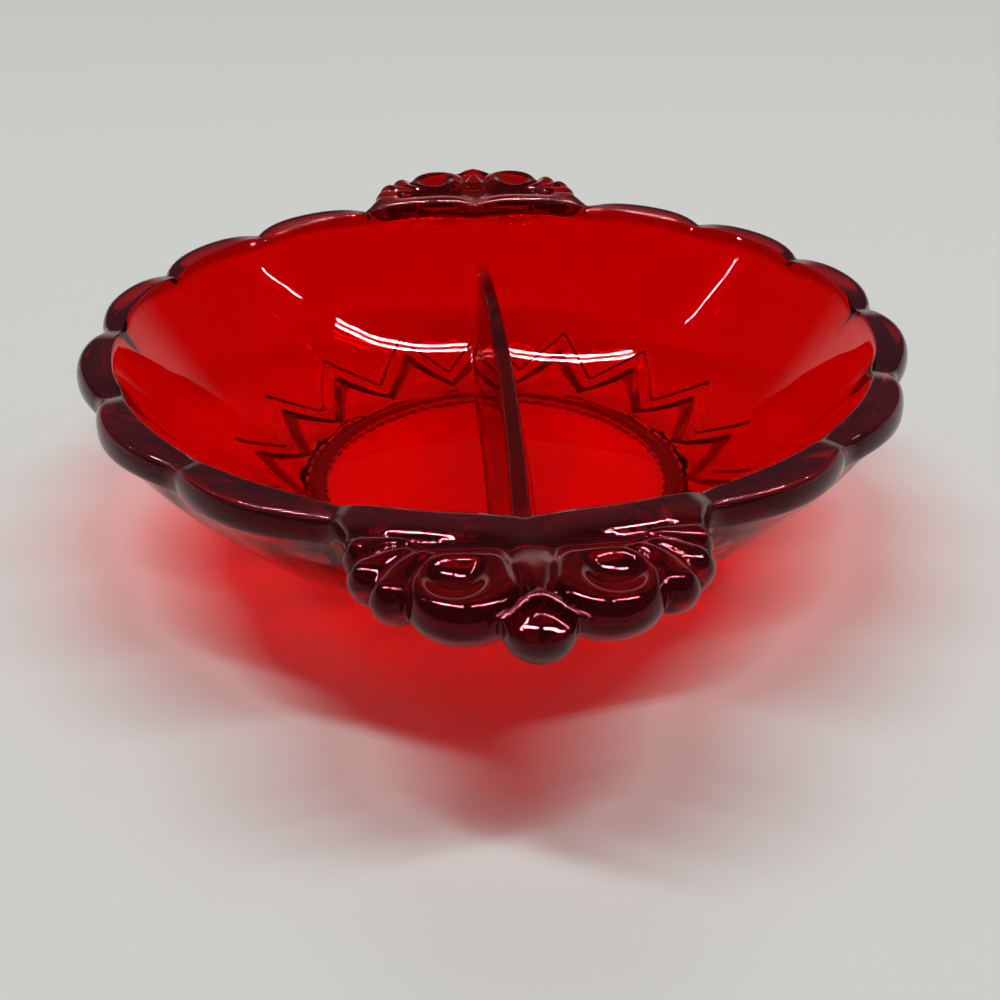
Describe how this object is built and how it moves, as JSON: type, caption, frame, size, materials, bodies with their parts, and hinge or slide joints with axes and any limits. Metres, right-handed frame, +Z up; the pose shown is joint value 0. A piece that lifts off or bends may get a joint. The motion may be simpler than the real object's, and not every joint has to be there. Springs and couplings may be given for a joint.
{
  "type": "divided candy dish",
  "caption": "Round two-handled candy dish in clear ruby pressed glass, with a scalloped rim, scroll handles, a ring foot and a low wall that parts the bowl into two compartments.",
  "frame": {"origin": "on the table, below the middle of the dish", "axes": "+Z up, +Y from the front handle to the rear handle, +X across the two compartments"},
  "size_m": [0.156, 0.1978, 0.0441],
  "materials": {
    "ruby_glass": "clear ruby glass, fire-polished gloss"
  },
  "bodies": {
    "root": {"base_plate": "ruby_glass", "foot_ring": "ruby_glass", "divider": "ruby_glass", "wall_flute_right_1": "ruby_glass", "wall_flute_right_2": "ruby_glass", "wall_flute_right_3": "ruby_glass", "wall_flute_right_4": "ruby_glass", "wall_flute_right_5": "ruby_glass", "wall_flute_right_6": "ruby_glass", "wall_flute_left_1": "ruby_glass", "wall_flute_left_2": "ruby_glass", "wall_flute_left_3": "ruby_glass", "wall_flute_left_4": "ruby_glass", "wall_flute_left_5": "ruby_glass", "wall_flute_left_6": "ruby_glass", "wall_flute_front_left": "ruby_glass", "wall_flute_front_right": "ruby_glass", "wall_flute_rear_left": "ruby_glass", "wall_flute_rear_right": "ruby_glass", "rim_lobe_right_1": "ruby_glass", "rim_lobe_right_2": "ruby_glass", "rim_lobe_right_3": "ruby_glass", "rim_lobe_right_4": "ruby_glass", "rim_lobe_right_5": "ruby_glass", "rim_lobe_right_6": "ruby_glass", "rim_lobe_left_1": "ruby_glass", "rim_lobe_left_2": "ruby_glass", "rim_lobe_left_3": "ruby_glass", "rim_lobe_left_4": "ruby_glass", "rim_lobe_left_5": "ruby_glass", "rim_lobe_left_6": "ruby_glass", "handle_rim_front_left": "ruby_glass", "handle_rim_front_right": "ruby_glass", "handle_rim_rear_left": "ruby_glass", "handle_rim_rear_right": "ruby_glass", "front_handle_bead": "ruby_glass", "front_handle_stem": "ruby_glass", "front_handle_scroll_left": "ruby_glass", "front_handle_scroll_right": "ruby_glass", "front_handle_fan_left": "ruby_glass", "front_handle_fan_right": "ruby_glass", "rear_handle_bead": "ruby_glass", "rear_handle_stem": "ruby_glass", "rear_handle_scroll_left": "ruby_glass", "rear_handle_scroll_right": "ruby_glass", "rear_handle_fan_left": "ruby_glass", "rear_handle_fan_right": "ruby_glass"}
  },
  "joints": []
}
